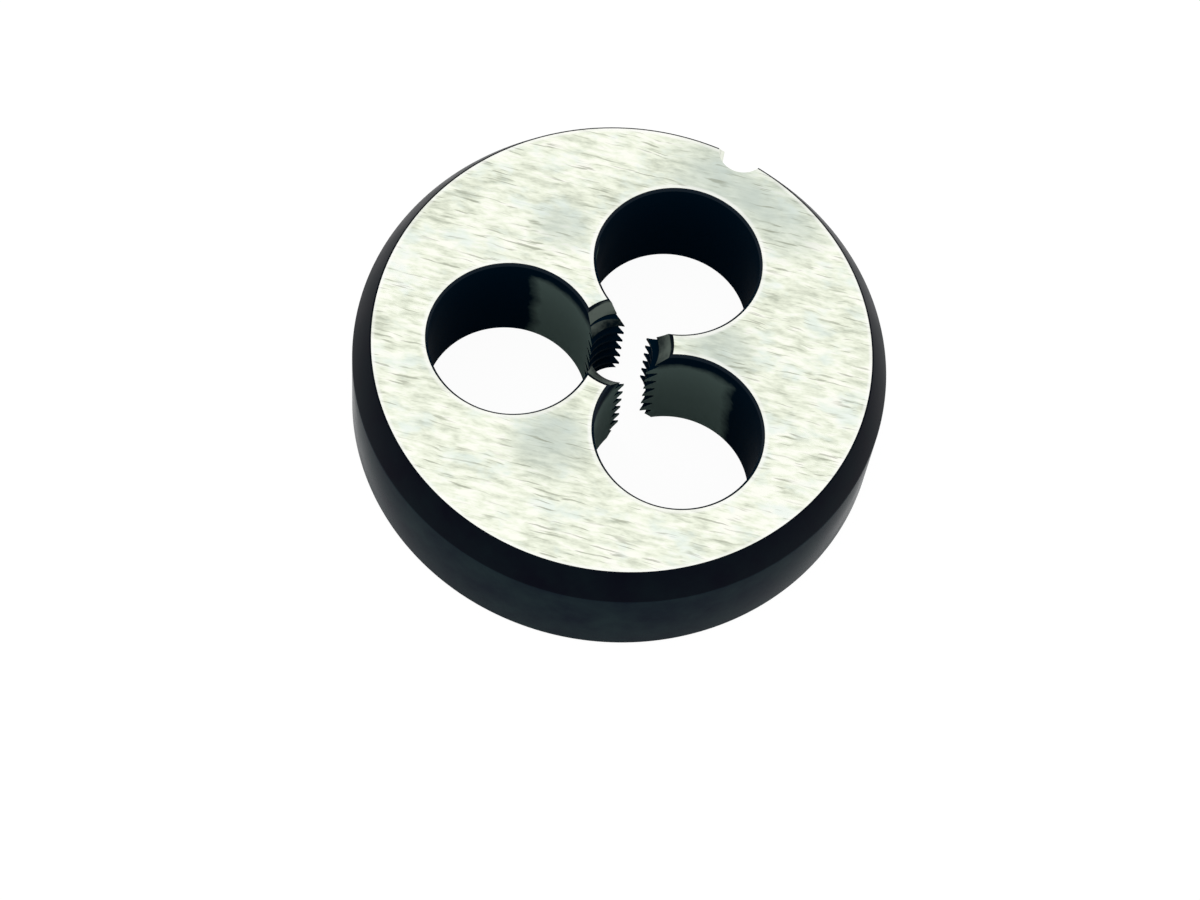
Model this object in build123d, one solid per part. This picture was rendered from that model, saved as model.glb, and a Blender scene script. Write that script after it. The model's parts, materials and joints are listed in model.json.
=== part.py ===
from build123d import *
import os
from math import atan, degrees, pi, radians, tan

# Round threading die, M3 x 0.6 right hand, in the standard 20 x 5 mm body.
# One hardened steel disc: a threaded bore opened by three chip holes, which leave
# three lands of cutting teeth, with a notch and two dimples in the rim for the
# screws of the die stock.
#
# Frame: the origin is the centre of the back face, +Z runs along the axis and out of
# the front face, where the work enters. All sizes are in millimetres and degrees.

# Body
DIE_DIAMETER = 20.0
DIE_THICKNESS = 5.0
FRONT_CHAMFER_WIDTH = 0.65      # taken off the face's radius
FRONT_CHAMFER_HEIGHT = 1.15     # taken off the rim's height
BACK_EDGE_BREAK = 0.15

# Thread, a 60 degree metric form
THREAD_DIAMETER = 3.0
THREAD_PITCH = 0.6
THREAD_ANGLE = 60.0
FIRST_CREST_HEIGHT = 0.425      # crest of the thread above the back face, at angle 0

# Lead-in cones at the two ends of the thread
FRONT_LEAD_FLARE = 0.36         # mouth radius beyond the thread's own radius
FRONT_LEAD_DEPTH = 0.85
BACK_LEAD_FLARE = 0.10
BACK_LEAD_DEPTH = 0.80

# Chip holes
CHIP_HOLE_COUNT = 3
CHIP_HOLE_FIRST_ANGLE = 60.0
CHIP_HOLE_WALL = 2.78           # steel left between a hole and the rim
CHIP_HOLE_REACH = 0.135         # how far a hole reaches inside the ring of crests
CHIP_HOLE_EDGE_BREAK = 0.10     # 45 degrees, at both mouths

# Rim: one notch outside the first chip hole, and a dimple each side of it
NOTCH_ANGLE = 61.9
NOTCH_RADIUS = 0.90
NOTCH_DEPTH = 1.29
DIMPLE_DIAMETER = 2.2
DIMPLE_ANGLE = 90.0
DIMPLE_OFFSET_ANGLE = 60.0      # either side of the notch
DIMPLE_BELOW_CHAMFER = 0.25     # rim left between a dimple and the front chamfer

# Derived sizes
die_radius = DIE_DIAMETER / 2
thread_radius = THREAD_DIAMETER / 2
flank_slope = tan(radians(THREAD_ANGLE / 2))
sharp_height = THREAD_PITCH / (2 * flank_slope)
crest_radius = thread_radius - 5 / 8 * sharp_height
pitch_radius = thread_radius - 3 / 8 * sharp_height
lead_angle = degrees(atan(THREAD_PITCH / (2 * pi * pitch_radius)))
front_mouth_radius = thread_radius + FRONT_LEAD_FLARE
back_mouth_radius = thread_radius + BACK_LEAD_FLARE
chip_hole_inner_edge = crest_radius - CHIP_HOLE_REACH
chip_hole_outer_edge = die_radius - CHIP_HOLE_WALL
chip_hole_radius = (chip_hole_outer_edge - chip_hole_inner_edge) / 2
chip_hole_centre = chip_hole_inner_edge + chip_hole_radius
hole_step = 360 / CHIP_HOLE_COUNT
rim_top = DIE_THICKNESS - FRONT_CHAMFER_HEIGHT
dimple_height = rim_top - DIMPLE_BELOW_CHAMFER - DIMPLE_DIAMETER / 2
past_face = 1.0                 # how far each cutter runs past a face


def around(radius, angle, z=0.0):
    """Place at a radius and angle about the axis, with its X pointing outwards."""
    return Rot(0, 0, angle) * Pos(radius, 0, z)


def make_blank():
    """Turned disc with its bore, both lead-in cones and the edges of the rim."""
    section = Polyline(
        (crest_radius, BACK_LEAD_DEPTH),
        (back_mouth_radius, 0),
        (die_radius - BACK_EDGE_BREAK, 0),
        (die_radius, BACK_EDGE_BREAK),
        (die_radius, rim_top),
        (die_radius - FRONT_CHAMFER_WIDTH, DIE_THICKNESS),
        (front_mouth_radius, DIE_THICKNESS),
        (crest_radius, DIE_THICKNESS - FRONT_LEAD_DEPTH),
        close=True,
    )
    return revolve(Plane.XZ * make_face(section), Axis.Z)


def make_tooth_grooves():
    """Grooves between the teeth of every land.

    Each one is a segment of a ring with the thread's flanks and root, turned by the
    lead angle about the middle of its land. Over the land it stays within 0.005 mm of
    the true helix. Its ends lie in the chip holes.
    """
    inner_radius = crest_radius - THREAD_PITCH / 8
    root_half_width = THREAD_PITCH / 16
    inner_half_width = root_half_width + (thread_radius - inner_radius) * flank_slope
    profile = Polyline(
        (inner_radius, -inner_half_width),
        (thread_radius, -root_half_width),
        (thread_radius, root_half_width),
        (inner_radius, inner_half_width),
        close=True,
    )
    span = 0.8 * hole_step
    ring = Rot(0, 0, -span / 2) * revolve(Plane.XZ * make_face(profile), Axis.Z, span)
    tilted_ring = Rot(lead_angle, 0, 0) * ring
    grooves = []
    for land in range(CHIP_HOLE_COUNT):
        angle = CHIP_HOLE_FIRST_ANGLE + hole_step * (land + 0.5)
        height = (FIRST_CREST_HEIGHT + THREAD_PITCH * (angle / 360 + 0.5)) % THREAD_PITCH - THREAD_PITCH
        while height < DIE_THICKNESS + THREAD_PITCH:
            grooves.append(Rot(0, 0, angle) * Pos(0, 0, height) * tilted_ring)
            height += THREAD_PITCH
    return grooves


def make_chip_holes():
    """Through holes that break into the bore and free the cutting edges.

    The broken edge of each mouth goes on at 45 degrees past the face.
    """
    flared_radius = chip_hole_radius + CHIP_HOLE_EDGE_BREAK + past_face
    section = Polyline(
        (0, -past_face),
        (flared_radius, -past_face),
        (chip_hole_radius, CHIP_HOLE_EDGE_BREAK),
        (chip_hole_radius, DIE_THICKNESS - CHIP_HOLE_EDGE_BREAK),
        (flared_radius, DIE_THICKNESS + past_face),
        (0, DIE_THICKNESS + past_face),
        close=True,
    )
    cutter = revolve(Plane.XZ * make_face(section), Axis.Z)
    return [
        around(chip_hole_centre, CHIP_HOLE_FIRST_ANGLE + hole_step * i) * cutter
        for i in range(CHIP_HOLE_COUNT)
    ]


def make_notch():
    """Half-round groove down the rim, for the adjusting screw."""
    centre = die_radius - NOTCH_DEPTH + NOTCH_RADIUS
    cutter = Cylinder(NOTCH_RADIUS, DIE_THICKNESS + 2 * past_face)
    return around(centre, NOTCH_ANGLE, DIE_THICKNESS / 2) * cutter


def make_dimples():
    """Conical dimples in the rim, for the points of the clamping screws."""
    slope = tan(radians(DIMPLE_ANGLE / 2))
    depth = DIMPLE_DIAMETER / 2 / slope
    length = depth + past_face
    cutter = Rot(0, 90, 0) * Cone(0, length * slope, length, align=(Align.CENTER, Align.CENTER, Align.MIN))
    tip = die_radius - depth
    return [
        around(tip, NOTCH_ANGLE + side * DIMPLE_OFFSET_ANGLE, dimple_height) * cutter
        for side in (-1, 1)
    ]


def make_die():
    """The whole die: the blank with everything cut from it."""
    holed_blank = make_blank() - make_chip_holes()
    return holed_blank - make_tooth_grooves() - make_notch() - make_dimples()


os.makedirs("parts", exist_ok=True)
export_step(make_die(), "parts/die.step")
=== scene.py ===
import json
from math import ceil, cos, pi, radians, sin, sqrt, tan

import bmesh
import bpy
from mathutils import Matrix, Vector


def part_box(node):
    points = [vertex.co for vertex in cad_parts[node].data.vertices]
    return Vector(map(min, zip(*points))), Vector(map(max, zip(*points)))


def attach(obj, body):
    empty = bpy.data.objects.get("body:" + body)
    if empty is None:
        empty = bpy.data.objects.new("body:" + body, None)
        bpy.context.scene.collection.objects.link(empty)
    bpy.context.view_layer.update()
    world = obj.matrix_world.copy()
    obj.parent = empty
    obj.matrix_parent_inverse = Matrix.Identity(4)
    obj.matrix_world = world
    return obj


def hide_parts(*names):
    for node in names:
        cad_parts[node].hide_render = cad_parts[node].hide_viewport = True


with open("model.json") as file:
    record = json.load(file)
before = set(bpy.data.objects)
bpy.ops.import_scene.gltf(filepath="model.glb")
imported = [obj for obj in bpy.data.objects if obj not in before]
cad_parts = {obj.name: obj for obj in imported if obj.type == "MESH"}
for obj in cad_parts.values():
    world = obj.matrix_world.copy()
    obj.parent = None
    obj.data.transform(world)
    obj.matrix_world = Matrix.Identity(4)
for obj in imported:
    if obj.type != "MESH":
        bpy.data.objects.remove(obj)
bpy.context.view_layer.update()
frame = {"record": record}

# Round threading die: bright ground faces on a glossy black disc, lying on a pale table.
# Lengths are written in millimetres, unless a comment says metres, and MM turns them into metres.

MM = 0.001
ROUND_STEPS = 240               # facets round the rim
HOLE_STEPS = 144                # facets round a chip hole
THREAD_STEPS = 72               # facets in one turn of the thread
WELD = 1e-8                     # metres, merges the seam of a turned shape
OFF_STEP = 0.7                  # degrees that a cutter is turned, off the die's own edges
CORNER_ANGLE = 20               # degrees, sharper corners of the blank are rounded
CORNER_FACETS = 3
SHARP_ANGLE = 30                # degrees, sharper edges aren't shaded smooth
FLAT = 0.999                    # upward share of the normal of a face that lies flat
SLOPING = 0.1                   # and of one that leans

# Sizes that the frame gives
mounts = {mount["name"]: mount for mount in frame["record"]["mounts"]}
die_low, die_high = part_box("die")
die_radius = mounts["rim"]["dims"]["r_mm"]
die_thickness = (die_high.z - die_low.z) / MM
rim_length = mounts["rim"]["dims"]["length_mm"]
crest_radius = mounts["thread"]["dims"]["r_mm"]
crest_length = mounts["thread"]["dims"]["length_mm"]
hole_centres = [
    Vector([(low + high) / 2 for low, high in zip(*opening["box_m"])]) / MM
    for opening in frame["record"]["physics"]["openings"]
]
dimple_mounts = [mounts["dimple_a"], mounts["dimple_b"]]

# Sizes of the cuts
BACK_EDGE_BREAK = 0.15
FRONT_CHAMFER_WIDTH = 0.65
EDGE_ROUND = 0.05
THREAD_PITCH = 0.6
THREAD_ANGLE = 60.0
FIRST_CREST_HEIGHT = 0.425
FRONT_LEAD_DEPTH = 0.85
FRONT_MOUTH_RADIUS = 1.86
BACK_MOUTH_RADIUS = 1.60
CHIP_HOLE_RADIUS = 3.09
CHIP_HOLE_EDGE_BREAK = 0.10
NOTCH_RADIUS = 0.90
DIMPLE_RADIUS = 1.1
PAST_FACE = 0.5                 # how far each cutter runs past a face
TURNS_PAST_FACE = 2             # of the thread's cutter, at each end

rim_top = BACK_EDGE_BREAK + rim_length
face_radius = die_radius - FRONT_CHAMFER_WIDTH
thread_radius = crest_radius + 5 / 8 * THREAD_PITCH * sqrt(3) / 2
flank_slope = tan(radians(THREAD_ANGLE / 2))
notch_centre = Vector(mounts["notch"]["pos_m"]) / MM + Vector(mounts["notch"]["axis"]) * NOTCH_RADIUS


# --- Meshes ---------------------------------------------------------------------------


def finished(bm, name, material):
    """Object made from a bmesh, with every face in one material."""
    bmesh.ops.remove_doubles(bm, verts=bm.verts, dist=WELD)
    bmesh.ops.recalc_face_normals(bm, faces=bm.faces)
    mesh = bpy.data.meshes.new(name)
    bm.to_mesh(mesh)
    bm.free()
    mesh.materials.append(material)
    made = bpy.data.objects.new(name, mesh)
    bpy.context.scene.collection.objects.link(made)
    return made


def chain(bm, points, closed):
    """Edges through (radius, height) points in the XZ plane."""
    verts = [bm.verts.new((r * MM, 0, z * MM)) for r, z in points]
    pairs = list(zip(verts, verts[1:]))
    if closed:
        pairs.append((verts[-1], verts[0]))
    return verts, [bm.edges.new(pair) for pair in pairs]


def turned(points, name, material, steps, closed=False, rounded=0):
    """Solid of revolution about Z. An open section starts and ends on the axis."""
    bm = bmesh.new()
    verts, edges = chain(bm, points, closed)
    bmesh.ops.spin(
        bm, geom=verts + edges, cent=(0, 0, 0), axis=(0, 0, 1), angle=2 * pi, steps=steps, use_merge=True
    )
    if rounded:
        bmesh.ops.remove_doubles(bm, verts=bm.verts, dist=WELD)
        corners = [edge for edge in bm.edges if edge.calc_face_angle() > radians(CORNER_ANGLE)]
        bmesh.ops.bevel(
            bm, geom=corners, offset=rounded * MM, offset_type="OFFSET", affect="EDGES",
            segments=CORNER_FACETS, profile=0.5, material=-1, clamp_overlap=True,
        )
    return finished(bm, name, material)


def turn_about_z(angle):
    return Matrix.Rotation(radians(angle), 4, "Z")


def moved_to(centre):
    """Sideways move to a place given in millimetres."""
    return Matrix.Translation(Vector((centre.x, centre.y, 0)) * MM)


def placed(made, matrix):
    """Moves a mesh, not its object, so that the object stays at the origin."""
    made.data.transform(matrix)
    return made


def cut(body, cutter):
    """Takes the cutter away from the body, which gets the cutter's material on the cut."""
    boolean = body.modifiers.new("cut", "BOOLEAN")
    boolean.operation = "DIFFERENCE"
    boolean.solver = "EXACT"
    boolean.object = cutter
    boolean.material_mode = "TRANSFER"
    shaped = bpy.data.meshes.new_from_object(body.evaluated_get(bpy.context.evaluated_depsgraph_get()))
    body.modifiers.clear()
    body.data = shaped
    bpy.data.objects.remove(cutter)


def make_blank(finishes):
    """Turned disc. The finishes are those of its rim, chamfer, faces, lead-in cones and thread."""
    rim, chamfer, ground, lead, thread = range(len(finishes))
    back_lead_depth = die_thickness - FRONT_LEAD_DEPTH - crest_length
    blank = turned(
        (
            (crest_radius, back_lead_depth),
            (BACK_MOUTH_RADIUS, 0),
            (die_radius - BACK_EDGE_BREAK, 0),
            (die_radius, BACK_EDGE_BREAK),
            (die_radius, rim_top),
            (face_radius, die_thickness),
            (FRONT_MOUTH_RADIUS, die_thickness),
            (crest_radius, die_thickness - FRONT_LEAD_DEPTH),
        ),
        "die_body", finishes[rim], ROUND_STEPS, closed=True, rounded=EDGE_ROUND,
    )
    for material in finishes[1:]:
        blank.data.materials.append(material)
    for face in blank.data.polygons:
        lean = abs(face.normal.z)
        if lean > FLAT:
            face.material_index = ground
        elif face.center.xy.length < FRONT_MOUTH_RADIUS * MM:
            face.material_index = lead if lean > SLOPING else thread
        elif face.center.z > rim_top * MM:
            face.material_index = chamfer
    return blank


def thread_cutter(oxide):
    """Screw-shaped groove between the crests, a right-hand metric thread."""
    inner_radius = crest_radius - THREAD_PITCH / 8
    root_half_width = THREAD_PITCH / 16
    inner_half_width = root_half_width + (thread_radius - inner_radius) * flank_slope
    turns = ceil(die_thickness / THREAD_PITCH) + 2 * TURNS_PAST_FACE
    steps = turns * THREAD_STEPS
    start = FIRST_CREST_HEIGHT + (OFF_STEP / 360 - 0.5 - TURNS_PAST_FACE) * THREAD_PITCH
    bm = bmesh.new()
    verts, edges = chain(
        bm,
        (
            (inner_radius, start - inner_half_width),
            (thread_radius, start - root_half_width),
            (thread_radius, start + root_half_width),
            (inner_radius, start + inner_half_width),
        ),
        closed=True,
    )
    first_end = bm.faces.new(verts)
    last = bmesh.ops.spin(
        bm, geom=verts + edges, cent=(0, 0, 0), axis=(0, 0, 1), angle=2 * pi * turns, steps=steps,
        dvec=(0, 0, THREAD_PITCH * MM / THREAD_STEPS), use_duplicate=False,
    )["geom_last"]
    bm.faces.new([v for v in last if isinstance(v, bmesh.types.BMVert)])
    return placed(finished(bm, "thread_cutter", oxide), turn_about_z(OFF_STEP))


def chip_hole_cutter(centre, wall_black, edge_black):
    """Hole through both faces, with the edges of its mouths broken at 45 degrees."""
    wall, edge = range(2)
    flared = CHIP_HOLE_RADIUS + CHIP_HOLE_EDGE_BREAK + PAST_FACE
    section = (
        (0, -PAST_FACE),
        (flared, -PAST_FACE),
        (CHIP_HOLE_RADIUS, CHIP_HOLE_EDGE_BREAK),
        (CHIP_HOLE_RADIUS, die_thickness - CHIP_HOLE_EDGE_BREAK),
        (flared, die_thickness + PAST_FACE),
        (0, die_thickness + PAST_FACE),
    )
    cutter = turned(section, "chip_hole_cutter", wall_black, HOLE_STEPS)
    cutter.data.materials.append(edge_black)
    for face in cutter.data.polygons:
        face.material_index = edge if abs(face.normal.z) > SLOPING else wall
    return placed(cutter, moved_to(centre) @ turn_about_z(OFF_STEP))


def notch_cutter(steel):
    """Straight groove through both faces, in the rim."""
    low, high = -PAST_FACE, die_thickness + PAST_FACE
    section = ((0, low), (NOTCH_RADIUS, low), (NOTCH_RADIUS, high), (0, high))
    cutter = turned(section, "notch_cutter", steel, HOLE_STEPS)
    return placed(cutter, moved_to(notch_centre))


def dimple_cutter(mount, oxide):
    """Cone of 90 degrees, so as deep as its radius, that points at the axis from the rim."""
    outwards = Vector(mount["axis"])
    length = DIMPLE_RADIUS + PAST_FACE
    cutter = turned(((0, 0), (length, length), (0, length)), "dimple_cutter", oxide, HOLE_STEPS)
    tip = Vector(mount["pos_m"]) - outwards * DIMPLE_RADIUS * MM
    turn = outwards.to_track_quat("Z", "Y").to_matrix().to_4x4()
    return placed(cutter, Matrix.Translation(tip) @ turn)


def make_die():
    """The whole die: the blank with everything cut from it."""
    ground = ground_steel()
    rim_black = black_oxide("rim_oxide")
    chamfer_black = black_oxide("chamfer_oxide")
    thread_black = black_oxide("thread_oxide")
    die = make_blank((rim_black, chamfer_black, ground, lead_oxide(), thread_black))
    cut(die, thread_cutter(thread_black))
    wall_black = hole_oxide()
    edge_black = black_oxide("edge_oxide")
    for centre in hole_centres:
        cut(die, chip_hole_cutter(centre, wall_black, edge_black))
    cut(die, notch_cutter(milled_steel()))
    for mount in dimple_mounts:
        cut(die, dimple_cutter(mount, rim_black))
    for face in die.data.polygons:
        face.use_smooth = abs(face.normal.z) < FLAT
    die.data.set_sharp_from_angle(angle=radians(SHARP_ANGLE))
    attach(die, "root")
    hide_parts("die")
    return die


# --- Materials ------------------------------------------------------------------------


class Signal:
    """One shader socket, with Python's operators as Math nodes."""

    def __init__(self, graph, socket):
        self.graph, self.socket = graph, socket

    def __add__(self, other):
        return self.graph.math("ADD", self, other)

    def __radd__(self, other):
        return self.graph.math("ADD", other, self)

    def __sub__(self, other):
        return self.graph.math("SUBTRACT", self, other)

    def __rsub__(self, other):
        return self.graph.math("SUBTRACT", other, self)

    def __mul__(self, other):
        return self.graph.math("MULTIPLY", self, other)

    def __rmul__(self, other):
        return self.graph.math("MULTIPLY", other, self)


class Graph:
    """A node tree that is emptied first. node() adds any node and returns one output."""

    def __init__(self, owner):
        owner.use_nodes = True
        self.tree = owner.node_tree
        self.tree.nodes.clear()

    def node(self, kind, settings=(), inputs=(), output=0):
        made = self.tree.nodes.new("ShaderNode" + kind)
        for name, value in dict(settings).items():
            if name == "stops":
                self.set_stops(made.color_ramp, value)
            else:
                setattr(made, name, value)
        for name, value in dict(inputs).items():
            if isinstance(value, Signal):
                self.tree.links.new(value.socket, made.inputs[name])
            else:
                made.inputs[name].default_value = value
        return Signal(self, made.outputs[output]) if made.outputs else None

    def set_stops(self, ramp, stops):
        while len(ramp.elements) < len(stops):
            ramp.elements.new(0.5)
        for element, (place, colour) in zip(ramp.elements, stops):
            element.position = place
            element.color = colour

    def math(self, operation, *values):
        return self.node("Math", {"operation": operation}, dict(enumerate(values)))

    def vector(self, operation, *values, output="Vector"):
        return self.node("VectorMath", {"operation": operation}, dict(enumerate(values)), output)

    def step(self, value, start, end):
        """Goes smoothly from 0 at start to 1 at end."""
        inputs = {"Value": value, "From Min": start, "From Max": end}
        return self.node("MapRange", {"interpolation_type": "SMOOTHSTEP"}, inputs)

    def blend(self, share, first, second):
        """Colour between two others."""
        return self.node("Mix", {"data_type": "RGBA"}, {0: share, 6: first, 7: second}, output=2)

    def ramp(self, signal, *stops):
        return self.node("ValToRGB", {"stops": stops}, {"Fac": signal})

    def place(self):
        return self.node("TexCoord", output="Object")

    def noise(self, place, sizes, turn=0.0, detail=2.0, roughness=0.5):
        """Noise with spots of the given sizes along X, Y and Z, in millimetres, turned about Z."""
        scaled = self.node(
            "Mapping", {"vector_type": "TEXTURE"},
            {"Vector": place, "Rotation": (0, 0, radians(turn)), "Scale": tuple(size * MM for size in sizes)},
        )
        inputs = {"Vector": scaled, "Scale": 1.0, "Detail": detail, "Roughness": roughness}
        return self.node("TexNoise", {}, inputs)

    def seen_directly(self):
        """1 for what the camera sees, also by way of a glossy or clear surface."""
        camera, glossy, clear = [
            self.node("LightPath", output=name)
            for name in ("Is Camera Ray", "Is Glossy Ray", "Is Transmission Ray")
        ]
        return self.math("MAXIMUM", self.math("MAXIMUM", camera, glossy), clear)

    def end(self, surface, kind="OutputMaterial"):
        self.node(kind, {}, {"Surface": surface})


def grey(level):
    return (level, level, level, 1.0)


def height_of(graph, place):
    """Height above the back face, in millimetres."""
    return graph.node("SeparateXYZ", {}, {"Vector": place}, output="Z") * (1 / MM)


def from_axis(graph, place):
    """Distance from the axis of the die, in millimetres."""
    flat = graph.vector("MULTIPLY", place, (1 / MM, 1 / MM, 0))
    return graph.vector("LENGTH", flat, output="Value")


# Patches on the ground face, as (x, y, radius, amount): dull where the amount is above 0, else bright.
FACE_PATCHES = (
    (3.6, 7.1, 2.6, 1.3),
    (6.2, 5.6, 2.0, 1.1),
    (3.5, -0.3, 1.7, 1.5),
    (-2.6, -4.2, 1.7, 1.5),
    (-2.3, 5.0, 1.3, 1.1),
    (6.8, -5.0, 2.8, -0.9),
    (-8.0, 1.5, 2.0, -0.8),
)
GRAIN_TURN = -12.0              # degrees from X
HAIR_TURN = -13.5
SWAY = 0.25                     # how far the grain wanders
SWAY_SIZE = 1.3                 # and over what length
RIM_LINE = (0.22, 0.10)         # where the worn line starts and where it is full, from the face's edge
HOLE_LINE = (0.20, 0.08)        # and from the mouth of a chip hole
CLOUD_SIZE = 1.5                # of the clouds in the black oxide
PATCH_END = 1.2                 # shares of a patch's radius, where it has faded out
PATCH_FULL = 0.2                # and where it is full
SCRATCH_TONE = (0.36, 0.38, 0.30, 1)
DULL_TONE = (0.56, 0.63, 0.58, 1)
COOL_TONE = (0.80, 0.90, 0.86, 1)
WORN_TONE = (1.0, 1.0, 0.97, 1)


def worn_edges(graph, place):
    """1 in a thin line on the front face along its rim and along the chip holes."""
    mouth = CHIP_HOLE_RADIUS + CHIP_HOLE_EDGE_BREAK
    lines = graph.step(from_axis(graph, place), *(face_radius - inset for inset in RIM_LINE))
    for centre in hole_centres:
        offset = graph.vector("SUBTRACT", place, tuple(centre * MM))
        line = graph.step(from_axis(graph, offset), *(mouth + inset for inset in HOLE_LINE))
        lines = graph.math("MAXIMUM", lines, line)
    return lines


def dull_patches(graph, place, clouds):
    """Above 0 where the ground face is dull and below 0 where it is bright, broken up by clouds."""
    dull = 0.0
    for x, y, radius, amount in FACE_PATCHES:
        offset = graph.vector("SUBTRACT", place, (x * MM, y * MM, die_thickness * MM))
        reach = graph.vector("LENGTH", offset, output="Value") * (1 / (radius * MM))
        dull = amount * graph.step(reach, PATCH_END, PATCH_FULL) + dull
    return dull * (clouds * 1.6 - 0.2)


def ground_steel():
    """Surface-ground steel: short dark scratches along one direction, over soft cloudy patches."""
    material = bpy.data.materials.new("ground_steel")
    graph = Graph(material)
    place = graph.place()
    sway_inputs = {"Vector": place, "Scale": 1 / (SWAY_SIZE * MM), "Detail": 2.0}
    sway = graph.node("TexNoise", {}, sway_inputs, output="Color")
    wavy = graph.vector("MULTIPLY_ADD", sway, (0, SWAY * MM, 0), place)

    waves = graph.noise(wavy, (0.95, 0.27, 1), GRAIN_TURN, detail=3.0, roughness=0.65)
    hairs = graph.noise(wavy, (1.3, 0.11, 1), HAIR_TURN)
    bundles = graph.noise(wavy, (1.8, 0.7, 1), GRAIN_TURN)
    clouds = graph.noise(wavy, (3.0, 2.2, 1), GRAIN_TURN, detail=3.0, roughness=0.6)
    tints = graph.noise(wavy, (1.6, 1.1, 1), GRAIN_TURN, detail=3.0, roughness=0.6)
    dull = dull_patches(graph, place, clouds)

    bare = graph.ramp(
        waves * 0.65 + clouds * 0.35 - dull * 0.08,
        (0.33, (0.54, 0.58, 0.47, 1)),
        (0.44, (0.78, 0.82, 0.68, 1)),
        (0.51, (0.91, 0.95, 0.80, 1)),
        (0.58, (1.00, 1.00, 0.91, 1)),
    )
    tinted = graph.blend(graph.step(tints, 0.50, 0.70) * 0.6, bare, COOL_TONE)
    dulled = graph.blend(dull * 0.75, tinted, DULL_TONE)
    scratches = graph.step(hairs, 0.44, 0.34) * (graph.step(bundles, 0.40, 0.60) * 0.8 + 0.1)
    scratched = graph.blend(scratches * 0.8, dulled, SCRATCH_TONE)
    colour = graph.blend(worn_edges(graph, place) * clouds * 1.2, scratched, WORN_TONE)
    relief = waves - scratches * 0.5
    bump = graph.node("Bump", {}, {"Strength": 0.15, "Distance": 0.02 * MM, "Height": relief})
    roughness = 0.32 + 0.15 * dull + 0.2 * scratches
    inputs = {"Base Color": colour, "Metallic": 1.0, "Roughness": roughness, "Normal": bump}
    graph.end(graph.node("BsdfPrincipled", {}, inputs))
    return material


def milled_steel():
    """Plain bright steel, with faint lines down the notch."""
    material = bpy.data.materials.new("milled_steel")
    graph = Graph(material)
    lines = graph.noise(graph.place(), (0.12, 0.12, 4))
    colour = graph.ramp(lines, (0.35, (0.66, 0.69, 0.60, 1)), (0.60, (0.88, 0.91, 0.80, 1)))
    graph.end(graph.node("BsdfPrincipled", {}, {"Base Color": colour, "Metallic": 1.0, "Roughness": 0.35}))
    return material


# Black oxide: refractive index, roughness, dark tone and pale tone of each place, or None where it
# is dark all over. The low index keeps its reflections faint, except where it is seen edge on.
DARK_TONE = (0.0004, 0.008, 0.018, 1)
OXIDES = {
    "rim_oxide": (1.03, 0.2, (0.008, 0.014, 0.024, 1), (0.016, 0.030, 0.036, 1)),
    # the chamfer's tones, darker than the rim's, are a painted shade
    "chamfer_oxide": (1.11, 0.35, (0.0005, 0.001, 0.006, 1), (0.002, 0.006, 0.010, 1)),
    "lead_oxide": (1.06, 0.35, (0.003, 0.008, 0.012, 1), (0.135, 0.165, 0.145, 1)),
    # the pale tone of the hole walls is a painted reflection
    "hole_oxide": (1.01, 0.35, DARK_TONE, (0.120, 0.175, 0.160, 1)),
    "edge_oxide": (1.2, 0.2, DARK_TONE, None),
    "thread_oxide": (1.02, 0.35, DARK_TONE, None),
}


def black_oxide(name, pale_zone=None):
    """Black oxide, clouded between a dark and a pale tone where it has both."""
    index, roughness, dark, pale = OXIDES[name]
    material = bpy.data.materials.new(name)
    graph = Graph(material)
    place = graph.place()
    clouds = graph.noise(place, (CLOUD_SIZE,) * 3, detail=4.0, roughness=0.6)
    share = clouds if pale_zone is None else pale_zone(graph, place, clouds)
    colour = dark if pale is None else graph.ramp(share, (0.3, dark), (0.7, pale))
    clouded_roughness = roughness - 0.1 + 0.2 * clouds
    inputs = {"Base Color": colour, "Metallic": 0.0, "Roughness": clouded_roughness, "IOR": index}
    graph.end(graph.node("BsdfPrincipled", {}, inputs))
    return material


def hole_oxide():
    """The walls of the chip holes are paler towards the bore, below their mouths, a painted reflection."""
    pale_radius = 4.45
    pale_height = 4.35
    sharpness = 0.9             # change of tone in one millimetre

    # painted reflection: the walls turn pale towards the bore and below the mouths
    def painted_reflection_near_bore(graph, place, clouds):
        inwards = (pale_radius - from_axis(graph, place)) * sharpness
        deep = (pale_height - height_of(graph, place)) * sharpness
        return graph.math("MINIMUM", inwards, deep) + clouds * 0.8

    return black_oxide("hole_oxide", painted_reflection_near_bore)


def lead_oxide():
    """The lead-in cones are pale in cloudy patches and darker deeper in, a painted shade, with a dark line at
    their mouths.
    """
    cone_middle = 2.0           # from half thickness, like the two heights of the line
    line_start = 2.38
    line_full = 2.46

    def patches_and_painted_shade(graph, place, clouds):
        outwards = graph.math("ABSOLUTE", height_of(graph, place) - die_thickness / 2)
        line = graph.step(outwards, line_start, line_full)
        # painted shade: the cones get darker deeper in, away from the faces
        return (outwards - cone_middle) * 0.5 + (clouds - 0.5) * 1.6 + 0.50 - line * 0.6

    return black_oxide("lead_oxide", patches_and_painted_shade)


# --- Table, light and camera ----------------------------------------------------------


TABLE_GREY = 0.8                # what the table sends back to the die
TABLE_SHADE = 0.12              # what the camera sees of the light on it
TABLE_GLOW = 0.95               # and of a light of its own, which lifts it to white
ROOM_LIGHT = 0.7
LAMP_SIZE = (0.25, 0.2)         # metres
LAMP_POWER = 0.05               # watts
LAMP_PLACE = (-0.16, -0.10, 0.24)       # metres


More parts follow.
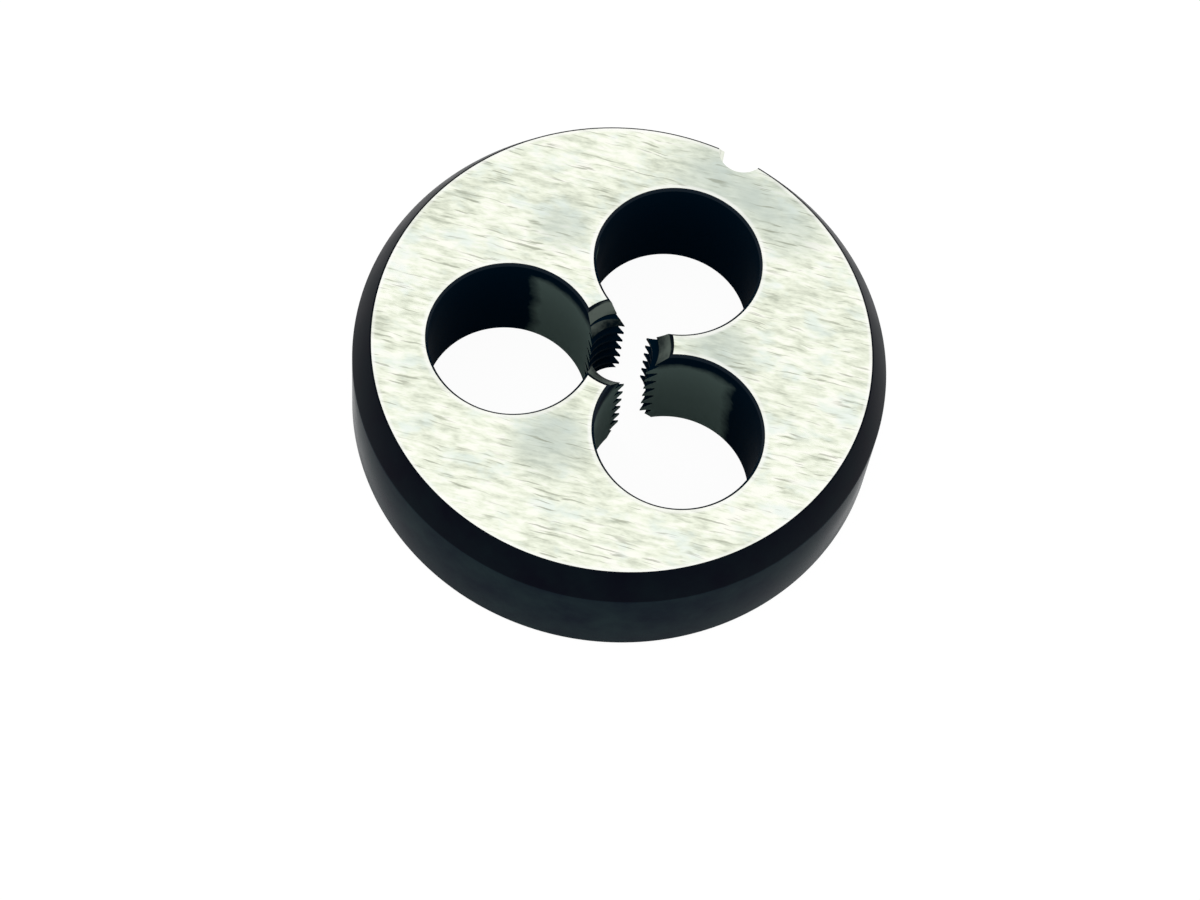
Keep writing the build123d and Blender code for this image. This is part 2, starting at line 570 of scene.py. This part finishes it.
def make_table():
    """Pale floor that reads as white, with the die's shadow kept."""
    bm = bmesh.new()
    bmesh.ops.create_grid(bm, x_segments=1, y_segments=1, size=2.0)
    material = bpy.data.materials.new("pale_table")
    table = finished(bm, "table", material)
    graph = Graph(material)
    lit = graph.node("BsdfDiffuse", {}, {"Color": grey(TABLE_GREY)})
    shade = graph.node("BsdfDiffuse", {}, {"Color": grey(TABLE_SHADE)})
    glow = graph.node("Emission", {}, {"Color": grey(1.0), "Strength": TABLE_GLOW})
    lifted = graph.node("AddShader", {}, {0: shade, 1: glow})
    graph.end(graph.node("MixShader", {}, {0: graph.seen_directly(), 1: lit, 2: lifted}))


def make_light():
    """A white room, and one wide soft lamp over the front left of the die."""
    world = bpy.data.worlds.new("studio")
    bpy.context.scene.world = world
    graph = Graph(world)
    room = graph.node("Background", {}, {"Color": grey(1.0), "Strength": ROOM_LIGHT})
    white = graph.node("Background", {}, {"Color": grey(1.0), "Strength": 1.0})
    graph.end(graph.node("MixShader", {}, {0: graph.seen_directly(), 1: room, 2: white}), "OutputWorld")
    lamp = bpy.data.lights.new("soft_box", "AREA")
    lamp.shape = "RECTANGLE"
    lamp.size, lamp.size_y = LAMP_SIZE
    lamp.energy = LAMP_POWER
    holder = bpy.data.objects.new("soft_box", lamp)
    bpy.context.scene.collection.objects.link(holder)
    holder.location = LAMP_PLACE
    holder.rotation_euler = (-holder.location).to_track_quat("-Z", "Y").to_euler()


def make_camera():
    """Long lens above the front of the die, turned a little about its own axis."""
    azimuth, elevation, roll = radians(-7.12), radians(63.45), radians(8.64)
    distance, aside, above = 124.15, -0.508, -1.766
    back = Vector((sin(azimuth) * cos(elevation), -cos(azimuth) * cos(elevation), sin(elevation)))
    level = Vector((cos(azimuth), sin(azimuth), 0))
    upright = back.cross(level)
    right = cos(roll) * level + sin(roll) * upright
    up = cos(roll) * upright - sin(roll) * level
    camera = bpy.data.cameras.new("camera")
    camera.sensor_width = 36.0
    camera.lens = 96.96
    camera.clip_start, camera.clip_end = 0.01, 10.0
    holder = bpy.data.objects.new("camera", camera)
    bpy.context.scene.collection.objects.link(holder)
    turn = Matrix((right, up, back)).transposed().to_4x4()
    holder.matrix_world = Matrix.Translation((back * distance + right * aside + up * above) * MM) @ turn
    bpy.context.scene.camera = holder


bpy.context.scene.view_settings.view_transform = "Standard"
make_camera()
make_light()
make_table()
make_die()
